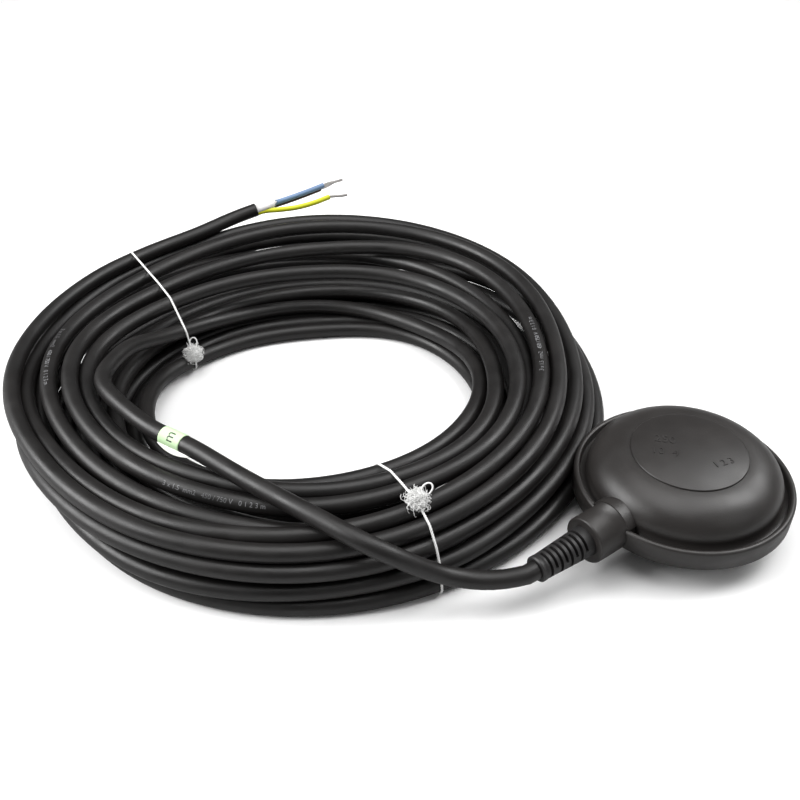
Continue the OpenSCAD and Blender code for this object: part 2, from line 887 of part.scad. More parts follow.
module tie_front() {
    string_tie(tie_front_angle, (coil_r + coil_hole_r) / 2);
}

module cable_tail() {
    color(cable_black) tube(tail_path, cable_r, 10);
}

// Turns the Z axis to a direction
module aim(place, d) {
    translate(place)
        rotate([0, acos(d[2] / norm(d)), atan2(d[1], d[0])])
            children();
}

// Paper sleeve round the cores that sticks out of the cut jacket
module inner_wrap() {
    color(paper_white)
        aim(tail_end + slip * unit(core_dir), core_dir)
            difference() {
                cylinder(h = wrap_len, r = cable_r - wrap_in, $fn = 48);
                translate([0, 0, -past])
                    cylinder(h = wrap_len + 2 * past, r = cable_r - wrap_in - wrap_t, $fn = 48);
            }
}

// Free end of one insulated core, just clear of the jacket's cut face
module free_core(p, shade) {
    color(shade)
        tube(p, core_d / 2, wire_sides);
}

// Bare twisted strands at the end of a core
module strands(p) {
    e = path_end(p);
    d = end_dir(p);
    color(copper)
        tube([e + slip * d, e + bare_len / 2 * d, e + bare_len * d - [0, 0, strand_sag]],
            strand_d / 2, wire_sides);
}

module core_blue() {
    free_core(blue_path, blue);
}

module core_brown() {
    free_core(brown_path, brown);
}

module core_earth() {
    free_core(earth_path, yellow_green);
}

module strands_blue() {
    strands(blue_path);
}

module strands_brown() {
    strands(brown_path);
}

module strands_earth() {
    strands(earth_path);
}

// Label wrapped round the lead where it crosses the coil
module length_label() {
    a = lead_path[label_at - 1];
    b = lead_path[label_at];
    d = unit(b - a);
    m = (a + b) / 2;
    reach = min(label_len, norm(b - a)) / 2;
    color(label_green)
        aim(m, d)
            difference() {
                cylinder(h = 2 * reach, r = cable_r + fit + label_skin, center = true);
                cylinder(h = 2 * reach + past, r = cable_r + fit, center = true);
            }
}

lower_shell();
upper_shell();
shell_seal();
cable_socket();
cable_boot();
cable_grommet();
thrust_washer();
gland_nut();
cable_end();
cable_clamp();
clamp_screws();
switch_tray();
switch_cover();
chamber_screws();
microswitch_case();
microswitch_lid();
switch_screws();
terminal_common();
terminal_open();
terminal_closed();
contact_blade();
crimp_connectors();
switch_lever();
lever_pin();
switch_plunger();
steel_ball();
wire_blue_inside();
wire_brown_inside();
wire_earth_inside();
cable_lead();
cable_coil();
cable_tail();
inner_wrap();
core_blue();
core_brown();
core_earth();
strands_blue();
strands_brown();
strands_earth();
length_label();
tie_back();
tie_front();
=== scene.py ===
import json
import math

import bmesh
import bpy
import numpy as np
from mathutils import Matrix, Vector


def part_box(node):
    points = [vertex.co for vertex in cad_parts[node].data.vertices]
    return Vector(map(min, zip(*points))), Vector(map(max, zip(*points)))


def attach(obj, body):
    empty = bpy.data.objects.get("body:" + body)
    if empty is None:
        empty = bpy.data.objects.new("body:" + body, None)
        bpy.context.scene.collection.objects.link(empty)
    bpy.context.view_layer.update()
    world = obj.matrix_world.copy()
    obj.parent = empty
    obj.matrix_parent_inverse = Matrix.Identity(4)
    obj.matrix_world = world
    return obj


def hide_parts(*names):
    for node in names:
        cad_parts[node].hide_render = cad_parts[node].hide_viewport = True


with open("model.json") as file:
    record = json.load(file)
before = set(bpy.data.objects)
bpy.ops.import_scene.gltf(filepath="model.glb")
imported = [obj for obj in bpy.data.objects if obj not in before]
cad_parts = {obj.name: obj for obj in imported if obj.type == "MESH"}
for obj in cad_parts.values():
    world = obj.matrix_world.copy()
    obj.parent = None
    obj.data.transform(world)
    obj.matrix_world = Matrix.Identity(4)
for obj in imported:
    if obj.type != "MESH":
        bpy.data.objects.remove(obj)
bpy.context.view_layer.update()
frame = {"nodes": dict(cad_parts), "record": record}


# Camera: it looks down at the float and its coil from the front left of the cable entry.
# The picture is square, and a focal length of 950 pixels on 800 gives the lens.
MM = 0.001
FLOAT_BODY = "float_body"
camera_data = bpy.data.cameras.new("camera")
camera = bpy.data.objects.new("camera", camera_data)
bpy.context.scene.collection.objects.link(camera)
bpy.context.scene.camera = camera
camera_data.sensor_width = 36
camera_data.lens = 36 * 950 / 800
camera_data.clip_start = 0.01
camera_data.clip_end = 20
aim_point = Vector((-57.8, 156.9, 0)) * MM
camera_turn = math.radians(-36)
camera_drop = math.radians(38)
camera_back = Vector((
    math.sin(camera_turn) * math.cos(camera_drop),
    -math.cos(camera_turn) * math.cos(camera_drop),
    math.sin(camera_drop),
))
camera.location = aim_point + camera_back * 555 * MM
camera.rotation_euler = (-camera_back).to_track_quat("-Z", "Y").to_euler()
bpy.context.scene.view_settings.view_transform = "Standard"


# Rubber cable: three cores in a black rubber jacket of 9 mm, about 15 m long.
# It leaves the strain relief, crosses the coil, runs round it eighteen times, lane by lane,
# and ends cut off square at the back, where its cores are bared.
CABLE_D = 9.0
CABLE_R = CABLE_D / 2
STEP = 5.0

coil_low, coil_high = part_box("cable_coil")
COIL_X = (coil_low.x + coil_high.x) / 2 / MM
COIL_Y = (coil_low.y + coil_high.y) / 2 / MM

LEAD_Z = 43.2
lead_route = [
    (-97.05, 0, 21), (-101, 0, 21), (-105, 1.2, 20),
    (-109, 3.8, 18.4), (-113.5, 8, 16.8), (-118.5, 13.5, 15.8), (-125, 18.6, 16.5),
    (-132.5, 23, 20), (-138, 25, 24.5), (-146, 28, 32), (-152, 31.2, 37.2),
    (-157.2, 35.2, 41.2), (-163, 45, LEAD_Z), (-167, 59, LEAD_Z), (-172, 73, LEAD_Z),
    (-177, 88, LEAD_Z), (-184, 109, LEAD_Z), (-190, 131, LEAD_Z),
    (-193.5, 144, LEAD_Z), (-201, 159, LEAD_Z), (-204, 170, LEAD_Z),
    (-207, 190, LEAD_Z), (-209, 207, LEAD_Z), (-208, 221, LEAD_Z),
]
CORE_DIR = Vector((0.96, -0.2, 0.16)).normalized()
TAIL_END = Vector((-45.3, 342.1, 43.1))
tail_route = [
    (-119, 340.4, 38), (-105, 341.3, 38), (-90, 341.6, 38.7), (-74, 343, 40),
    tuple(TAIL_END - 18 * CORE_DIR), tuple(TAIL_END - 6 * CORE_DIR), tuple(TAIL_END),
]

# Places round the coil, in degrees clockwise from the left side as the camera sees it.
# Each lane gives the radius and height at which one turn passes them, from the front round.
PLACES = (-70, -35, 0, 40, 90, 135, 180, 220, 248)
first_lane = ((98, 41), (89, 28), (85, 20), (87, 12), (89, 14), (99, 24), (102, 30), (104, 33))
FIRST_PLACES = (0, 20, 42, 90, 135, 180, 220, 248)
lanes = (
    # inner side, going down
    ((97, 25), (91, 18), (87, 13), (77, 5), (72, 4.5), (91, 4.5), (102, 6), (104, 12), (106, 14)),
    # bottom row, going out
    ((99, 7), (98, 6), (96, 5), (86, 5), (81, 5), (100, 5), (111, 5), (113, 5), (115, 5)),
    ((109, 5), (106, 5), (104, 5), (95, 5), (90, 5), (109, 5), (120, 5), (122, 5), (124, 5)),
    ((119, 5), (117, 5), (114, 5), (104, 5), (99, 5), (118, 5), (129, 5), (131, 5), (133, 5)),
    ((134, 5), (130, 5), (124, 5), (113, 5), (108, 5), (127, 5), (138, 5), (140, 5), (142, 5)),
    ((142, 8), (138, 7), (133, 5), (122, 5), (117, 5), (139, 5), (148, 6), (146, 12), (139, 12)),
    # second row, going in
    ((129, 13), (123, 13), (118, 13), (111, 13), (113, 13), (124, 13), (130, 13), (136, 14), (130, 13)),
    ((119, 13), (113, 13), (109, 13), (102, 13), (104, 13), (115, 13), (120, 13), (126, 14), (121, 13)),
    # up to the top
    ((113, 17), (109, 17), (104, 18), (94, 18), (96, 18), (102, 24), (105, 33), (116, 37), (114, 37)),
    ((106, 35), (112, 34), (118, 34), (97, 36), (84, 40), (98, 41), (115, 42), (127, 41), (123, 37)),
    ((116, 35), (120, 37), (126, 38), (114, 37), (115, 39), (131, 42), (131, 40), (136, 40), (137, 37)),
    # outer side, going down
    ((137, 33), (140, 31), (152, 27), (157, 31), (161, 36), (159, 35), (152, 27), (149, 27), (149, 24)),
    ((149, 26), (150, 26), (153, 17), (153, 21), (153, 28), (155, 27), (159, 18), (153, 18), (150, 14)),
    ((150, 13), (144, 13), (146, 10), (148, 11), (146, 11), (161, 15), (165, 8), (158, 7), (154, 5)),
    ((147, 5), (138, 5), (139, 5), (132, 5), (134, 5), (155, 9), (156, 6), (149, 5), (142, 20)),
    # through the middle and up
    ((145, 19), (141, 20), (146, 25), (144, 24), (134, 25), (121, 34), (125, 31), (128, 30), (131, 28)),
    ((126, 30), (130, 33), (139, 36), (134, 37), (142, 41), (149, 41), (141, 38), (145, 37), (145, 32)),
)
last_lane = ((147, 34), (148, 35), (158, 35), (157, 37.5))
LAST_PLACES = (-70, -35, 0, 38)
LEFT_SIDE = 144


def smooth(knots, values, at):
    """Values between the knots on a curve that passes through each of them."""
    knots = np.array(knots, float)
    values = np.array(values, float)
    slopes = np.gradient(values, knots, axis=0)
    i = np.clip(np.searchsorted(knots, at) - 1, 0, len(knots) - 2)
    gap = (knots[i + 1] - knots[i])[:, None]
    t = ((at - knots[i]) / gap[:, 0])[:, None]
    rise = values[i + 1] - values[i]
    bend = t * (1 - t) * ((1 - t) * (slopes[i] * gap - rise) - t * (slopes[i + 1] * gap - rise))
    return values[i] + t * rise + bend


def wound_turns():
    """Centreline of all the turns, in millimetres, with each lane joined to the next."""
    angles = list(FIRST_PLACES)
    rings = list(first_lane)
    for turn, lane in enumerate(lanes, start=1):
        angles += [360 * turn + place for place in PLACES]
        rings += lane
    angles += [360 * (len(lanes) + 1) + place for place in LAST_PLACES]
    rings += last_lane
    at = np.arange(angles[0], angles[-1], 3.0)
    radius, height = smooth(angles, rings, at).T
    around = np.radians(LEFT_SIDE - at)
    return np.stack([
        COIL_X + radius * np.cos(around),
        COIL_Y + radius * np.sin(around),
        height,
    ], axis=1)


def evenly(points, step):
    """The same line with points at even steps along it."""
    ends = np.linalg.norm(np.diff(points, axis=0), axis=1)
    along = np.concatenate([[0], np.cumsum(ends)])
    at = np.linspace(0, along[-1], round(along[-1] / step) + 1)
    return np.stack([np.interp(at, along, points[:, k]) for k in range(3)], axis=1)


def rounded(points, times):
    """The line with its corners eased, its two ends kept."""
    for _ in range(times):
        middle = (points[:-2] + 2 * points[1:-1] + points[2:]) / 4
        points = np.concatenate([points[:2], middle[1:], points[-1:]])
    return points


def close_pairs(points, reach, apart):
    """Pairs of points within reach of each other that aren't neighbours along the cable."""
    found = []
    for start in range(0, len(points), 256):
        part = points[start:start + 256]
        gap = np.linalg.norm(part[:, None] - points[None, start:], axis=2)
        i, j = np.nonzero(gap < reach)
        keep = j - i > apart
        found.append(np.stack([i[keep], j[keep]]) + start)
    return np.concatenate(found, axis=1)


def settled(points, held_first, held_last):
    """The turns pushed apart until none lies in another, resting on the floor or each other."""
    aim = points.copy()
    weight = np.ones(len(points))
    weight[:held_first] = 0
    weight[held_first:held_first + 12] = np.linspace(0, 1, 12)
    weight[len(points) - held_last:] = 0
    for round_number in range(120):
        if round_number % 10 == 0:
            i, j = close_pairs(points, CABLE_D * 1.7, 8)
        ahead = np.gradient(points, axis=0)
        ahead /= np.linalg.norm(ahead, axis=1)[:, None]
        gap = points[i] - points[j]
        slide = (gap * ahead[j]).sum(1)
        beside = np.abs(slide) < STEP * 0.55
        across = gap - np.where(beside, slide, 0)[:, None] * ahead[j]
        width = np.maximum(np.linalg.norm(across, axis=1), 0.01)
        push = np.clip(CABLE_D * 1.01 - width, 0, 2)[:, None] * across / width[:, None] * 0.25
        move = np.zeros_like(points)
        np.add.at(move, i, push)
        np.add.at(move, j, -push)
        shift = points + move - aim
        for _ in range(2):
            shift[1:-1] = (shift[:-2] + 2 * shift[1:-1] + shift[2:]) / 4
        points = aim + shift * weight[:, None] * 0.998
        points[:, 2] = np.maximum(points[:, 2], CABLE_R)
    return points


route = np.concatenate([np.array(lead_route, float), wound_turns(), np.array(tail_route, float)])
route = rounded(evenly(route, STEP), 6)
route = settled(evenly(route, STEP), 48, 16)
cable_length = np.linalg.norm(np.diff(route, axis=0), axis=1).sum() * MM
print("cable length", round(cable_length, 3), "points", len(route))

def new_material(name, base, roughness, metallic=0.0):
    """A material with its shader, and the tree that its own nodes are added to."""
    material = bpy.data.materials.new(name)
    material.use_nodes = True
    shader = material.node_tree.nodes["Principled BSDF"]
    shader.inputs["Base Color"].default_value = (*base, 1)
    shader.inputs["Roughness"].default_value = roughness
    shader.inputs["Metallic"].default_value = metallic
    return material, material.node_tree, shader


def noise(tree, scale, detail=4.0, stretch=None):
    """Noise measured in the part's own metres, so that its grain keeps its real size."""
    place = tree.nodes.new("ShaderNodeTexCoord")
    texture = tree.nodes.new("ShaderNodeTexNoise")
    texture.inputs["Scale"].default_value = scale
    texture.inputs["Detail"].default_value = detail
    if stretch is None:
        tree.links.new(place.outputs["Object"], texture.inputs["Vector"])
    else:
        mapping = tree.nodes.new("ShaderNodeMapping")
        mapping.inputs["Scale"].default_value = stretch
        tree.links.new(place.outputs["Object"], mapping.inputs["Vector"])
        tree.links.new(mapping.outputs["Vector"], texture.inputs["Vector"])
    return texture.outputs["Fac"]


def ramp(tree, value, stops):
    """Colours for a value: stops are (place, colour)."""
    node = tree.nodes.new("ShaderNodeValToRGB")
    tree.links.new(value, node.inputs["Fac"])
    while len(node.color_ramp.elements) < len(stops):
        node.color_ramp.elements.new(0.5)
    for element, (place, colour) in zip(node.color_ramp.elements, stops):
        element.position = place
        element.color = (*colour, 1)
    return node.outputs["Color"]


def spread(tree, value, low, high):
    """The value from its usual noise range to low..high."""
    node = tree.nodes.new("ShaderNodeMapRange")
    node.inputs["From Min"].default_value = 0.3
    node.inputs["From Max"].default_value = 0.7
    node.inputs["To Min"].default_value = low
    node.inputs["To Max"].default_value = high
    tree.links.new(value, node.inputs["Value"])
    return node.outputs["Result"]


def bump(tree, shader, value, strength, depth):
    """Small relief in metres of depth."""
    node = tree.nodes.new("ShaderNodeBump")
    node.inputs["Strength"].default_value = strength
    node.inputs["Distance"].default_value = depth
    tree.links.new(value, node.inputs["Height"])
    tree.links.new(node.outputs["Normal"], shader.inputs["Normal"])


def clouded(name, dark, light, rough, grain, depth, metallic=0.0):
    """Colour that drifts a little, a sheen that drifts with it, and a fine surface grain."""
    material, tree, shader = new_material(name, dark, rough[0], metallic)
    tree.links.new(ramp(tree, noise(tree, 30, 5), [(0.3, dark), (0.7, light)]), shader.inputs["Base Color"])
    tree.links.new(spread(tree, noise(tree, 80, 3), *rough), shader.inputs["Roughness"])
    bump(tree, shader, noise(tree, grain, 2), 0.25, depth)
    return material


cable_rubber = clouded(
    "cable_rubber", (0.0045, 0.0040, 0.0039), (0.0100, 0.0088, 0.0084), (0.37, 0.51), 1400, 0.0002)


def wires(name, lines, radius, material, fill_sides=2):
    """One piece of round wires or threads along lines of points in millimetres."""
    curve = bpy.data.curves.new(name, "CURVE")
    curve.dimensions = "3D"
    curve.bevel_depth = radius * MM
    curve.bevel_resolution = fill_sides
    curve.use_fill_caps = True
    for points in lines:
        points = np.array(points, float)
        line = curve.splines.new("POLY")
        line.points.add(len(points) - 1)
        ends = np.ones((len(points), 1))
        line.points.foreach_set("co", np.concatenate([points * MM, ends], axis=1).ravel())
        line.use_smooth = True
    curve.materials.append(material)
    piece = bpy.data.objects.new(name, curve)
    bpy.context.scene.collection.objects.link(piece)
    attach(piece, FLOAT_BODY)
    return piece


cable = wires("rubber_cable", [route], CABLE_R, cable_rubber, 5)
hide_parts("cable_lead", "cable_coil", "cable_tail")


# Length label: a strip of pale green paper stuck round the cable near the strain relief,
# its end left standing off as a white-edged flag, with the length printed on it in black.
LABEL_MIDDLE = (-196.7, 151, LEAD_Z)
LABEL_LONG = 13
PAPER = 0.22


def nearest(place):
    """Number of the route point nearest to a place."""
    return int(np.argmin(np.linalg.norm(route - np.array(place, float), axis=1)))


def skin(piece_route, along, turn, lift):
    """A place on the cable's skin: along it in millimetres, round it in degrees from its left."""
    ends = np.linalg.norm(np.diff(piece_route, axis=0), axis=1)
    at = np.concatenate([[0], np.cumsum(ends)])
    middle = np.array([np.interp(along, at, piece_route[:, k]) for k in range(3)])
    ahead = np.array([np.interp(along + 1, at, piece_route[:, k]) for k in range(3)]) - np.array(
        [np.interp(along - 1, at, piece_route[:, k]) for k in range(3)])
    ahead = Vector(ahead).normalized()
    left = Vector((0, 0, 1)).cross(ahead).normalized()
    up = ahead.cross(left)
    turn = math.radians(turn)
    out = left * math.cos(turn) + up * math.sin(turn)
    return Vector(middle) + out * (CABLE_R + lift), out, ahead


def mesh_piece(name, points, faces, material, smooth_faces=True):
    """A piece made from points in millimetres."""
    mesh = bpy.data.meshes.new(name)
    mesh.from_pydata([Vector(point) * MM for point in points], [], faces)
    mesh.validate()
    mesh.materials.append(material)
    if smooth_faces:
        mesh.shade_smooth()
    piece = bpy.data.objects.new(name, mesh)
    bpy.context.scene.collection.objects.link(piece)
    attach(piece, FLOAT_BODY)
    return piece


def grid_faces(rows, columns, closed=False):
    """Faces of a net of points, row by row."""
    width = columns if closed else columns - 1
    return [
        (
            row * columns + column,
            row * columns + (column + 1) % columns,
            (row + 1) * columns + (column + 1) % columns,
            (row + 1) * columns + column,
        )
        for row in range(rows - 1)
        for column in range(width)
    ]


label_route = route[nearest(LABEL_MIDDLE) - 6:nearest(LABEL_MIDDLE) + 7]
label_ends = np.linalg.norm(np.diff(label_route, axis=0), axis=1)
LABEL_START = label_ends[:6].sum() - LABEL_LONG / 2
label_points = []
for row in range(19):
    along = LABEL_START + LABEL_LONG * row / 18
    for column in range(60):
        place, out, ahead = skin(label_route, along, 6 * column, PAPER)
        label_points.append(place)
label_paper = clouded("label_paper", (0.52, 0.78, 0.42), (0.64, 0.86, 0.53), (0.50, 0.62), 900, 0.0001)
label = mesh_piece("label_wrap", label_points, grid_faces(19, 60, True), label_paper)
thick = label.modifiers.new("paper", "SOLIDIFY")
thick.thickness = PAPER * MM
thick.offset = -1

flag_points = []
for row in range(19):
    for column in range(7):
        along = LABEL_START + (LABEL_LONG + 8) * row / 18 - 7.5
        place, out, ahead = skin(label_route, along, -14, 0.1)
        down = ahead.cross(out).normalized() * -1
        reach = column * 0.4 * (0.1 + math.sin(math.pi * row / 18) ** 0.8)
        flag_points.append(place + down * reach * 0.6 + out * (reach * 0.8 + 0.1))
flag_paper = clouded("label_backing", (0.84, 0.87, 0.80), (0.92, 0.93, 0.88), (0.5, 0.6), 900, 0.0001)
flag = mesh_piece("label_flag", flag_points, grid_faces(19, 7), flag_paper)
thick = flag.modifiers.new("paper", "SOLIDIFY")
thick.thickness = 0.3 * MM
thick.offset = 0


def lettering(name, words, height, thickness, cuts):
    """Flat letters as points and faces in millimetres, cut into strips that can be bent."""
    curve = bpy.data.curves.new(name, "FONT")
    curve.body = words
    curve.size = height
    curve.extrude = thickness
    curve.resolution_u = 3
    curve.align_x = "CENTER"
    curve.align_y = "CENTER"
    holder = bpy.data.objects.new(name, curve)
    bpy.context.scene.collection.objects.link(holder)
    bpy.context.view_layer.update()
    flat = bmesh.new()
    flat.from_mesh(holder.to_mesh())
    holder.to_mesh_clear()
    bpy.data.objects.remove(holder)
    bpy.data.curves.remove(curve)
    bmesh.ops.remove_doubles(flat, verts=flat.verts, dist=0.001)
    for normal, first, last, gap in cuts:
        for cut in np.arange(first, last, gap):
            everything = flat.verts[:] + flat.edges[:] + flat.faces[:]
            middle = Vector(normal) * cut
            bmesh.ops.bisect_plane(flat, geom=everything, plane_co=middle, plane_no=normal)
    bmesh.ops.recalc_face_normals(flat, faces=flat.faces)
    points = [vert.co.copy() for vert in flat.verts]
    faces = [[vert.index for vert in face.verts] for face in flat.faces]
    flat.free()
    return points, faces


letter_points, letter_faces = lettering("label_length", "15 m", 7.6, 0, [((1, 0, 0), -12, 12, 0.4)])
printed = []
for point in letter_points:
    turn = -2 + math.degrees(point.x / (CABLE_R + PAPER))
    place, out, ahead = skin(label_route, LABEL_START + LABEL_LONG * 0.5 + point.y, turn, PAPER + 0.05)
    printed.append(place)
label_ink = clouded("label_ink", (0.012, 0.014, 0.012), (0.03, 0.035, 0.03), (0.5, 0.6), 900, 0.0001)
label_text = mesh_piece("label_length", printed, letter_faces, label_ink)
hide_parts("length_label")


# Jacket print: small pale figures stamped along the rubber, half worn off, which give the
# cores, their section, the voltage and a metre count. It shows on three stretches.
print_ink = clouded("print_ink", (0.06, 0.06, 0.062), (0.26, 0.26, 0.27), (0.5, 0.6), 900, 0.0001)
PRINT = "3 x 1.5  mm2   450 / 750 V   0 1 2 3 m"
PRINT_PLACES = ((-195, 113, 38), (-221, 258, 38), (1, 104, 36))
for number, middle in enumerate(PRINT_PLACES):
    figures, figure_faces = lettering(
        "figures", PRINT, 3.3, 0, [((0, 1, 0), -2, 2, 0.5), ((1, 0, 0), -40, 40, 2.5)])
    at_point = nearest(middle)
    print_route = route[at_point - 14:at_point + 15]
    print_middle = np.linalg.norm(np.diff(print_route[:15], axis=0), axis=1).sum()
    place, out, ahead = skin(print_route, print_middle, 0, 0)
    left = Vector((0, 0, 1)).cross(ahead).normalized()
    facing = math.degrees(math.atan2(camera_back.dot(ahead.cross(left)), camera_back.dot(left)))
    bent = []
    for point in figures:
        turn = facing + math.degrees(point.y / CABLE_R)
        place, out, ahead = skin(print_route, print_middle - point.x, turn, 0.05)
        bent.append(place)
    mesh_piece("jacket_print_" + str(number + 1), bent, figure_faces, print_ink)


# Bared end: the jacket is cut off at a slant, and paper wrap peeps out round three cores,
# blue, brown and yellow-green, each bared again to a twisted bundle of tinned strands.
END_AXIS = CORE_DIR
end_side = Vector((0, 0, 1)).cross(END_AXIS).normalized()
end_up = END_AXIS.cross(end_side)
wrap_rng = np.random.default_rng(5)
wrap_points = []
torn = wrap_rng.uniform(-1.3, 1.3, 36)
for row in range(10):
    for column in range(36):
        turn = math.radians(10 * column)
        reach = row / 9
        radius = 3.9 - 0.45 * reach + 0.18 * math.sin(5 * turn + 2 * row) * reach
        along = -3 + reach * (16.5 + torn[column] + 1.6 * math.sin(turn + 0.6))
        out = end_side * math.cos(turn) + end_up * math.sin(turn) * 0.8
        wrap_points.append(TAIL_END + END_AXIS * along + out * radius)
wrap_paper = clouded("wrap_paper", (0.70, 0.69, 0.68), (0.84, 0.83, 0.81), (0.7, 0.9), 700, 0.0003)
wrap = mesh_piece("paper_sleeve", wrap_points, grid_faces(10, 36, True), wrap_paper)
thick = wrap.modifiers.new("paper", "SOLIDIFY")
thick.thickness = 0.25 * MM
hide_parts("inner_wrap")

CORE_R = 1.75
core_blue = [(-46, 341.6, 43.6), (-40, 340.6, 44.4), (-31, 339, 45.6), (-20, 336.4, 47.4), (-8, 334, 49.4), (4, 333, 51)]
core_brown = [(-46, 342.4, 42), (-40, 342, 42.6), (-30, 340.6, 43), (-19, 338.6, 44.4), (-7, 337, 46), (3, 336, 47.4)]
core_earth = [(-46, 340, 41.6), (-40, 338.6, 42), (-32, 334.4, 42.2), (-20, 328.6, 43), (-8, 325.4, 44.4), (3, 324, 46)]
strand_ends = {
    "blue": [(4, 333, 51), (8, 332.4, 51.7), (13, 331.4, 51.8), (18, 330.2, 52.4)],
    "brown": [(3, 336, 47.4), (7, 335.4, 48), (12, 336, 48.6), (16, 337, 48.8)],
    "earth": [(3, 324, 46), (6, 322.4, 46.2), (10, 320.4, 46.1), (14, 318.4, 46.6)],
}


def eased(points, step):
    """A smooth line through given points."""
    points = np.array(points, float)
    at = np.concatenate([[0], np.cumsum(np.linalg.norm(np.diff(points, axis=0), axis=1))])
    return smooth(at, points, np.arange(0, at[-1] + step / 2, step).clip(0, at[-1]))


def twisted(points, turn_every, off, phases):
    """Lines wound round a smooth line, one for each starting angle."""
    centre = eased(points, 0.4)
    ahead = np.gradient(centre, axis=0)
    ahead /= np.linalg.norm(ahead, axis=1)[:, None]
    side = np.cross(ahead, (0, 0.3, 1))
    side /= np.linalg.norm(side, axis=1)[:, None]
    up = np.cross(ahead, side)
    turns = np.arange(len(centre)) * 0.4 / turn_every * 2 * math.pi
    lines = []
    for phase in phases:
        around = (turns + phase)[:, None]
        lines.append(centre + off * (side * np.cos(around) + up * np.sin(around)))
    return lines


def earth_plastic():
    """Yellow insulation with a green stripe along its sides."""
    material, tree, shader = new_material("core_yellow_green", (0.62, 0.60, 0.02), 0.36)
    place = tree.nodes.new("ShaderNodeTexCoord")
    apart = tree.nodes.new("ShaderNodeSeparateXYZ")
    tree.links.new(place.outputs["Normal"], apart.inputs["Vector"])
    stripes = ramp(tree, apart.outputs["Y"], [
        (0.0, (0.60, 0.62, 0.02)), (0.30, (0.62, 0.64, 0.03)), (0.55, (0.62, 0.64, 0.03)),
        (0.62, (0.10, 0.34, 0.03)), (1.0, (0.08, 0.30, 0.03)),
    ])
    tree.links.new(stripes, shader.inputs["Base Color"])
    bump(tree, shader, noise(tree, 800, 2), 0.15, 0.0001)
    return material


tinned = clouded("tinned_strands", (0.36, 0.34, 0.33), (0.55, 0.53, 0.51), (0.28, 0.42), 1200, 0.0001, 1.0)
blue_plastic = clouded("core_blue", (0.14, 0.22, 0.37), (0.19, 0.29, 0.46), (0.36, 0.46), 900, 0.0001)
brown_plastic = clouded("core_brown", (0.05, 0.022, 0.012), (0.09, 0.040, 0.02), (0.36, 0.46), 900, 0.0001)
end_pieces = []
for name, points, plastic, slot in (
    ("blue", core_blue, blue_plastic, "core_blue"),
    ("brown", core_brown, brown_plastic, "core_brown"),
    ("earth", core_earth, earth_plastic(), "core_yellow_green"),
):
    core = wires("insulation_" + name, [eased(points, 0.8)], CORE_R, plastic, 5)
    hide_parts("core_" + name)
    middle_strand = [eased(strand_ends[name], 0.4)]
    bundle = middle_strand + twisted(strand_ends[name], 9, 0.62, np.arange(6) * math.pi / 3)
    strands = wires("copper_" + name, bundle, 0.32, tinned, 2)
    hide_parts("strands_" + name)
    end_pieces += [core, strands]


# String ties: two loops of soft white string drawn tight round all the turns, each with
# a frayed knot. The front one is tied under the lead, which lies over it.
STRING_R = 0.42
string_cotton = clouded("string_cotton", (0.86, 0.86, 0.85), (0.95, 0.95, 0.94), (0.8, 0.95), 1500, 0.0003)


def outer_loop(flat):
    """The points of a flat set that a tight string would touch, in order."""
    flat = sorted(set((round(u, 3), round(w, 3)) for u, w in flat))
    sides = []
    for points in (flat, flat[::-1]):
        side = []
        for point in points:
            while len(side) > 1:
                (au, aw), (bu, bw) = side[-2:]
                if (bu - au) * (point[1] - aw) - (bw - aw) * (point[0] - au) > 0:
                    break
                side.pop()
            side.append(point)
        sides += side[:-1]
    return sides


def tie_loop(start, end, first_point):
    """Closed line of a string round the turns that cross an upright plane."""
    start = np.array(start, float)
    along = np.array(end, float) - start
    reach = np.linalg.norm(along)
    along /= reach
    across = np.array([-along[1], along[0]])
    offset = (route[:, :2] - start) @ across
    flat = []
    for i in range(first_point, len(route) - 1):
        if offset[i] * offset[i + 1] < 0:
            part = offset[i] / (offset[i] - offset[i + 1])
            place = route[i] + part * (route[i + 1] - route[i])
            u = (place[:2] - start) @ along
            lean = np.linalg.norm(route[i + 1] - route[i]) / abs(offset[i] - offset[i + 1])
            if -25 < u < reach + 25 and lean < 3:
                for turn in np.arange(0, 2 * math.pi, math.pi / 12):
                    radius = CABLE_R + STRING_R + 0.1
                    low = max(place[2] + radius * math.sin(turn), STRING_R * 1.5)
                    flat.append((u + radius * min(lean, 1.3) * math.cos(turn), low))
    loop = outer_loop(flat)
    points = [(*(start + u * along), w) for u, w in loop]
    return np.array(points + points[:1])


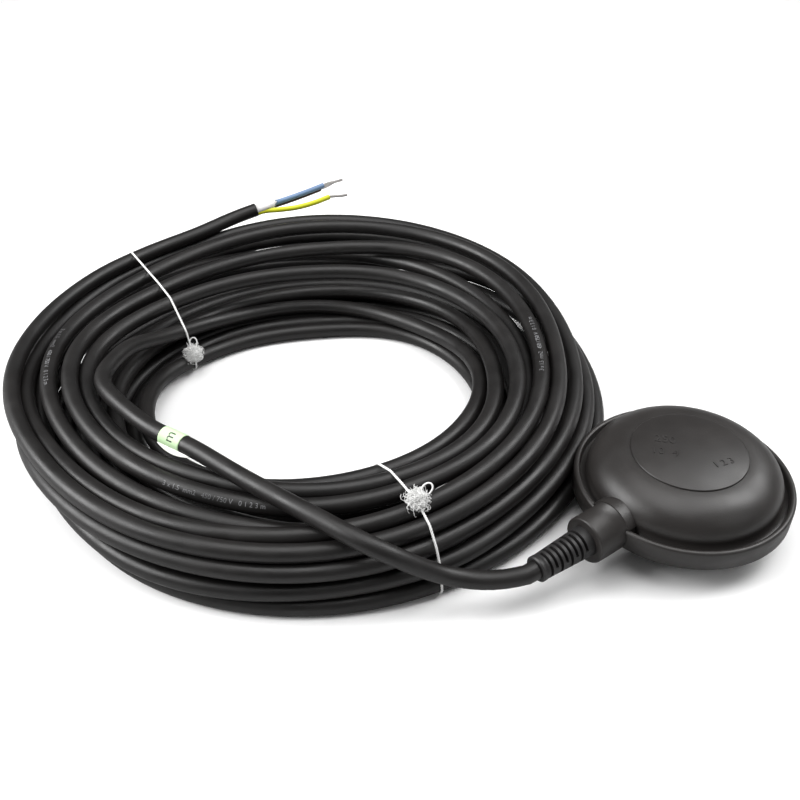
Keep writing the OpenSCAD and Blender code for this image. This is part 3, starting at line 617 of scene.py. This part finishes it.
def knot_at(place, size, seed, lean):
    """Little loops of string pulled together, and loose fibres round them."""
    rng = np.random.default_rng(seed)
    place = np.array(place, float)
    lean = np.array(lean, float)
    loops = []
    for number in range(26):
        a = rng.normal(size=3)
        a /= np.linalg.norm(a)
        b = np.cross(a, rng.normal(size=3))
        b /= np.linalg.norm(b)
        middle = place + rng.normal(size=3) * size * 0.22
        turn = np.linspace(0, 2 * math.pi * rng.uniform(0.7, 1), 22)[:, None]
        wide = size * rng.uniform(0.34, 0.6)
        loops.append(middle + wide * (a * np.cos(turn) + b * np.sin(turn) * 0.7))
    ear = np.linspace(0.2, 2 * math.pi - 0.2, 26)[:, None]
    ear_up = lean / np.linalg.norm(lean)
    ear_side = np.cross(ear_up, camera_back)
    ear_side /= np.linalg.norm(ear_side)
    ear_middle = place + ear_up * size * 1.25
    loops.append(ear_middle - ear_up * np.cos(ear) * size * 0.6 + ear_side * np.sin(ear) * size * 0.42)
    fibres = []
    for number in range(900):
        out = rng.normal(size=3)
        out *= size * rng.uniform(0.35, 0.95) / np.linalg.norm(out)
        a = rng.normal(size=3)
        a /= np.linalg.norm(a)
        b = np.cross(a, rng.normal(size=3))
        turn = np.linspace(0, rng.uniform(1.5, 4.5), 7)[:, None]
        curl = size * rng.uniform(0.16, 0.34)
        fibres.append(place + out + curl * (a * (np.cos(turn) - 1) + b * np.sin(turn) * 0.8))
    return loops, fibres


def tie(name, start, end, first_point, knot_place, knot_size, seed, lean, node):
    """String, knot and fibres of one tie."""
    loop = tie_loop(start, end, first_point)
    loop = evenly(loop, 0.5)
    near = int(np.argmin(np.linalg.norm(loop - np.array(knot_place, float), axis=1)))
    ahead = np.gradient(loop, axis=0)
    ahead /= np.linalg.norm(ahead, axis=1)[:, None] + 1e-9
    across = np.cross(ahead, (1, 0.1, 0))
    across /= np.linalg.norm(across, axis=1)[:, None] + 1e-9
    other = np.cross(ahead, across)
    around = (np.arange(len(loop)) * 0.5 / 2.6 * 2 * math.pi)[:, None]
    plies = [
        loop + 0.25 * (across * np.cos(around + phase) + other * np.sin(around + phase))
        for phase in (0, math.pi)
    ]
    loops, fibres = knot_at(loop[near] + np.array(lean) * 0.12 * knot_size, knot_size, seed, lean)
    string = wires(name + "_string", plies + loops, STRING_R, string_cotton, 1)
    fluff = wires(name + "_fibres", fibres, 0.11, string_cotton, 1)
    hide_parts(node)
    print(name, "string points", len(loop), "knot", loop[near].round(1))
    return [string, fluff]


ties = tie("back_tie", (-138, 352), (-142, 250), 48, (-142, 252, 13), 5.2, 11, (0.36, 0.5, 0.79), "tie_back")
ties += tie("front_tie", (-123, 88), (-129, 28), 48, (-127, 49, 43), 5.2, 23, (0.8, 0, 0.6), "tie_front")


# Float: two moulded shells of dark plastic pressed together at a rim that stands out below
# a groove, and a socket for the strain relief. The top carries a round pad with low marks.
float_plastic = clouded(
    "float_plastic", (0.0165, 0.0147, 0.0140), (0.0255, 0.0228, 0.0215), (0.34, 0.45), 1600, 0.00016)


def smooth_copy(node_name, material, angle):
    """The node's own shape with soft shading on its round faces."""
    node = frame["nodes"][node_name]
    work = bmesh.new()
    work.from_mesh(node.data)
    bmesh.ops.remove_doubles(work, verts=work.verts, dist=0.000002)
    bmesh.ops.dissolve_degenerate(work, edges=work.edges, dist=0.000002)
    mesh = bpy.data.meshes.new(node_name + "_skin")
    work.to_mesh(mesh)
    work.free()
    mesh.shade_smooth()
    mesh.set_sharp_from_angle(angle=math.radians(angle))
    mesh.materials.clear()
    mesh.materials.append(material)
    piece = bpy.data.objects.new(node_name + "_skin", mesh)
    piece.matrix_world = node.matrix_world
    bpy.context.scene.collection.objects.link(piece)
    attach(piece, FLOAT_BODY)
    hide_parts(node_name)
    return piece


smooth_copy("lower_shell", float_plastic, 24)
upper = smooth_copy("upper_shell", float_plastic, 24)
smooth_copy("cable_socket", float_plastic, 24)

shell_low, shell_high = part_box("upper_shell")
PAD_Z = shell_high.z / MM
CAMERA_RIGHT = Vector((math.cos(camera_turn), math.sin(camera_turn), 0))
CAMERA_AWAY = Vector((-math.sin(camera_turn), math.cos(camera_turn), 0))


def relief(name, words, height, right, away, turn):
    """Raised plain numbers on the pad, placed as the camera sees them."""
    points, faces = lettering(name, words, height, 0.22, [])
    c, s = math.cos(math.radians(turn)), math.sin(math.radians(turn))
    placed = []
    for point in points:
        u = right + point.x * c - point.y * s
        v = away + point.x * s + point.y * c
        flat = CAMERA_RIGHT * u + CAMERA_AWAY * v
        placed.append((flat.x, flat.y, PAD_Z + 0.02 + point.z))
    return mesh_piece(name, placed, faces, float_plastic, False)


relief("pad_mark_1", "250", 7, -10, 8, -12)
relief("pad_mark_2", "10  4", 6.5, -12, -1, -12)
relief("pad_mark_3", "1 2 3", 5.5, 14, -9, 20)


# Strain relief: soft black rubber with staggered windows, pushed into the socket.
boot_rubber = clouded("boot_rubber", (0.010, 0.0095, 0.010), (0.018, 0.017, 0.017), (0.45, 0.58), 1300, 0.0002)
smooth_copy("cable_boot", boot_rubber, 24)


# Studio: a white sheet on the table, a large soft light overhead, a stronger one at the
# right that draws the sheen on the dome, and two weaker ones at the left and in front. The camera sees the far background as plain white.
def studio_sheet():
    """White paper that the camera sees as plain white, and that still takes shadows."""
    material, tree, shader = new_material("studio_sheet", (0.50, 0.50, 0.50), 0.9)
    shader.inputs["Specular IOR Level"].default_value = 0.0
    white = tree.nodes.new("ShaderNodeBsdfDiffuse")
    white.inputs["Color"].default_value = (1, 1, 1, 1)
    rays = tree.nodes.new("ShaderNodeLightPath")
    choose = tree.nodes.new("ShaderNodeMixShader")
    tree.links.new(rays.outputs["Is Camera Ray"], choose.inputs[0])
    tree.links.new(shader.outputs["BSDF"], choose.inputs[1])
    tree.links.new(white.outputs["BSDF"], choose.inputs[2])
    tree.links.new(choose.outputs["Shader"], tree.nodes["Material Output"].inputs["Surface"])
    return material


bpy.ops.mesh.primitive_circle_add(
    vertices=96, radius=0.95, fill_type="NGON", location=(aim_point.x, aim_point.y, 0))
table = bpy.context.object
table.name = "studio_table"
table.data.materials.append(studio_sheet())

world = bpy.data.worlds.new("studio")
bpy.context.scene.world = world
world.use_nodes = True
sky = world.node_tree
lighting = sky.nodes["Background"]
lighting.inputs["Color"].default_value = (1, 1, 1, 1)
lighting.inputs["Strength"].default_value = 0.16
backdrop = sky.nodes.new("ShaderNodeBackground")
backdrop.inputs["Color"].default_value = (1, 1, 1, 1)
rays = sky.nodes.new("ShaderNodeLightPath")
choose = sky.nodes.new("ShaderNodeMixShader")
sky.links.new(rays.outputs["Is Camera Ray"], choose.inputs[0])
sky.links.new(lighting.outputs["Background"], choose.inputs[1])
sky.links.new(backdrop.outputs["Background"], choose.inputs[2])
sky.links.new(choose.outputs["Shader"], sky.nodes["World Output"].inputs["Surface"])


def soft_light(name, place, size, power):
    """Square soft light aimed at the middle of the object."""
    data = bpy.data.lights.new(name, "AREA")
    data.size = size
    data.energy = power
    lamp = bpy.data.objects.new(name, data)
    bpy.context.scene.collection.objects.link(lamp)
    lamp.location = place
    lamp.rotation_euler = (aim_point - lamp.location).to_track_quat("-Z", "Y").to_euler()
    return lamp


soft_light("right_side", aim_point + Vector((0.98, -0.29, 1.1)), 0.8, 14)
soft_light("overhead", aim_point + Vector((0.0, 0.0, 1.6)), 1.3, 16)
soft_light("left_side", aim_point + Vector((-1.0, 0.55, 0.75)), 0.8, 22)
soft_light("front", aim_point + Vector((0.5, -1.2, 0.9)), 0.8, 1.5)


# Inner pieces, which the shells hide: seals, glands, weight, ball and microswitch keep
# their CAD shape and take the look of their real materials.
finishes = {
    "float_shell": float_plastic,
    "socket_plastic": float_plastic,
    "boot_rubber": boot_rubber,
    "seal_rubber": clouded("seal_rubber", (0.016, 0.016, 0.017), (0.03, 0.03, 0.031), (0.55, 0.7), 900, 0.0002),
    "cable_jacket": cable_rubber,
    "pale_nylon": clouded("pale_nylon", (0.62, 0.60, 0.52), (0.76, 0.74, 0.66), (0.38, 0.5), 700, 0.0001),
    "steel_parts": clouded("steel_parts", (0.44, 0.45, 0.47), (0.60, 0.61, 0.62), (0.22, 0.36), 900, 0.0001, 1.0),
    "brass_parts": clouded("brass_parts", (0.58, 0.42, 0.17), (0.76, 0.58, 0.28), (0.22, 0.36), 900, 0.0001, 1.0),
    "switch_case": clouded("switch_case", (0.012, 0.012, 0.013), (0.02, 0.02, 0.022), (0.36, 0.5), 900, 0.0001),
    "switch_lid": clouded("switch_lid", (0.09, 0.028, 0.024), (0.13, 0.042, 0.034), (0.36, 0.5), 900, 0.0001),
    "plunger_red": clouded("plunger_red", (0.36, 0.024, 0.016), (0.46, 0.036, 0.024), (0.26, 0.36), 900, 0.0001),
    "core_blue": blue_plastic,
    "core_brown": brown_plastic,
    "core_yellow_green": clouded("earth_inside", (0.50, 0.56, 0.03), (0.60, 0.64, 0.05), (0.34, 0.44), 900, 0.0001),
    "bare_strands": tinned,
    "paper_wrap": wrap_paper,
    "label_paper": label_paper,
    "string": string_cotton,
}
for part in frame["record"]["subparts"]:
    node = frame["nodes"][part["node"]]
    node.data.materials.clear()
    node.data.materials.append(finishes[part["material_slot"]])
